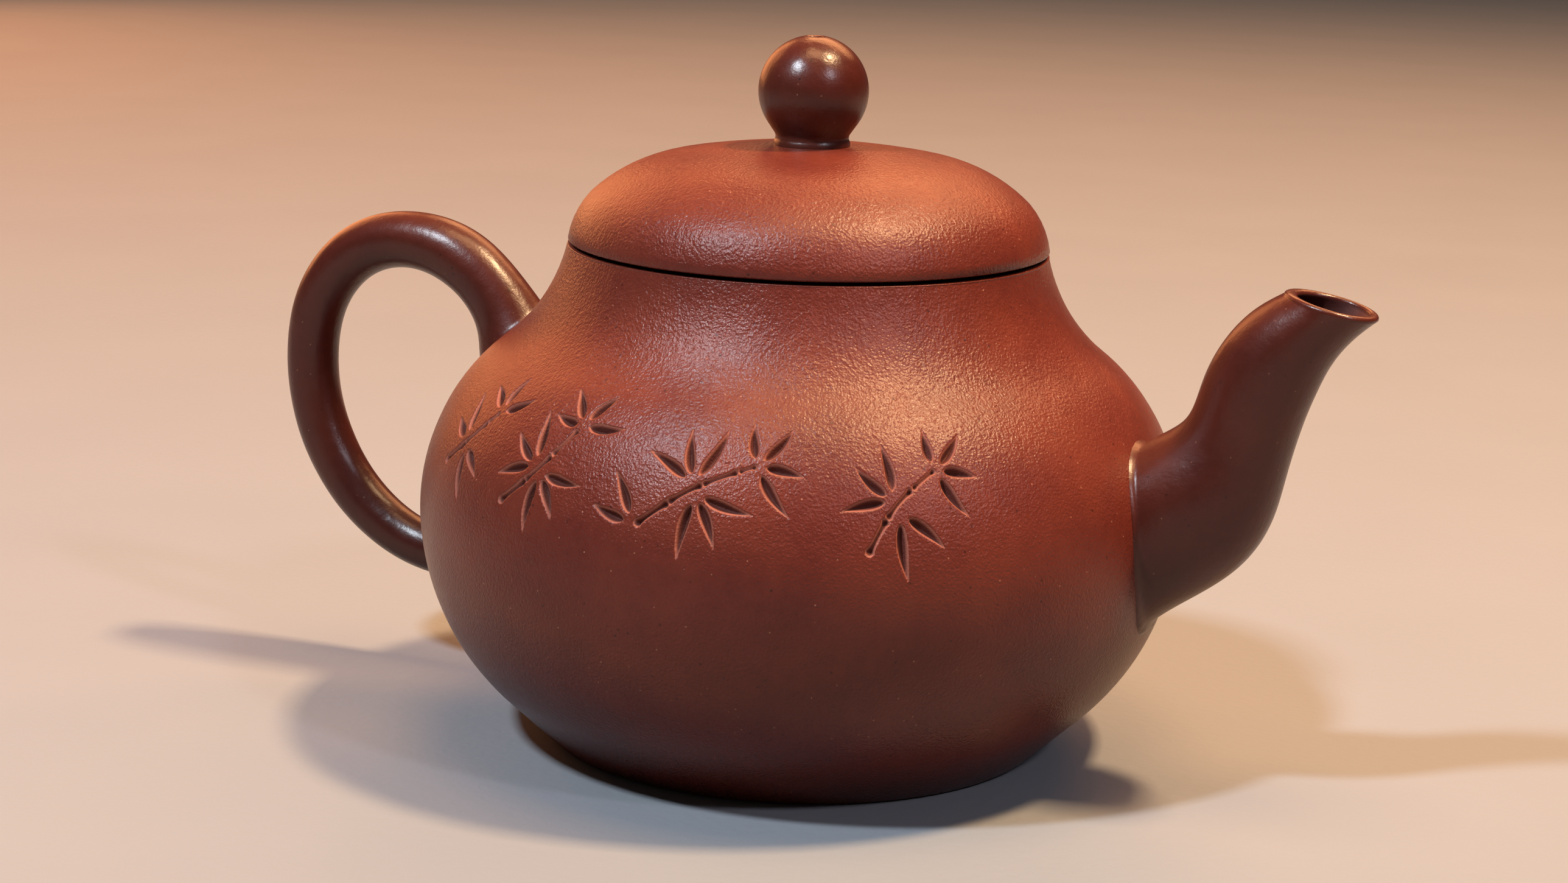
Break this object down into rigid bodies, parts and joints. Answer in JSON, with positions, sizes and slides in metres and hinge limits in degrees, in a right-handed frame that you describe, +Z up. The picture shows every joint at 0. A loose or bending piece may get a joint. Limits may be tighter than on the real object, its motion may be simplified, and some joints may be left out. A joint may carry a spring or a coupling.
{
  "type": "clay teapot",
  "caption": "Small round unglazed clay teapot with an S-curved spout, ear-shaped side handle and a domed lift-off lid with a ball knob, for brewing and pouring tea.",
  "frame": {"origin": "on the pot's axis, in the plane of the foot it stands on", "axes": "+Z up the pot's axis, +X towards the spout, -X towards the handle, +Y to the pot's left when the spout points forward"},
  "size_m": [0.1456, 0.094, 0.0865],
  "materials": {
    "clay": "satin, unglazed, fine grained",
    "burnished_clay": "rubbed smooth, soft gloss",
    "plain_clay": "matte, unglazed"
  },
  "bodies": {
    "pot": {"base_disc": "clay", "belly_wall": "clay", "shoulder_disc": "clay", "neck_ring": "clay", "mouth_ring": "plain_clay", "spout": "burnished_clay", "strainer_dome": "plain_clay", "handle": "burnished_clay"},
    "lid": {"lid_dome": "clay", "lid_ring": "plain_clay", "lid_collar": "plain_clay", "lid_knob": "burnished_clay"}
  },
  "joints": [
    {"name": "lid_lift", "type": "slide", "parent": "pot", "child": "lid", "axis": [0, 0, 1], "range_m": [0, 0.06]}
  ]
}
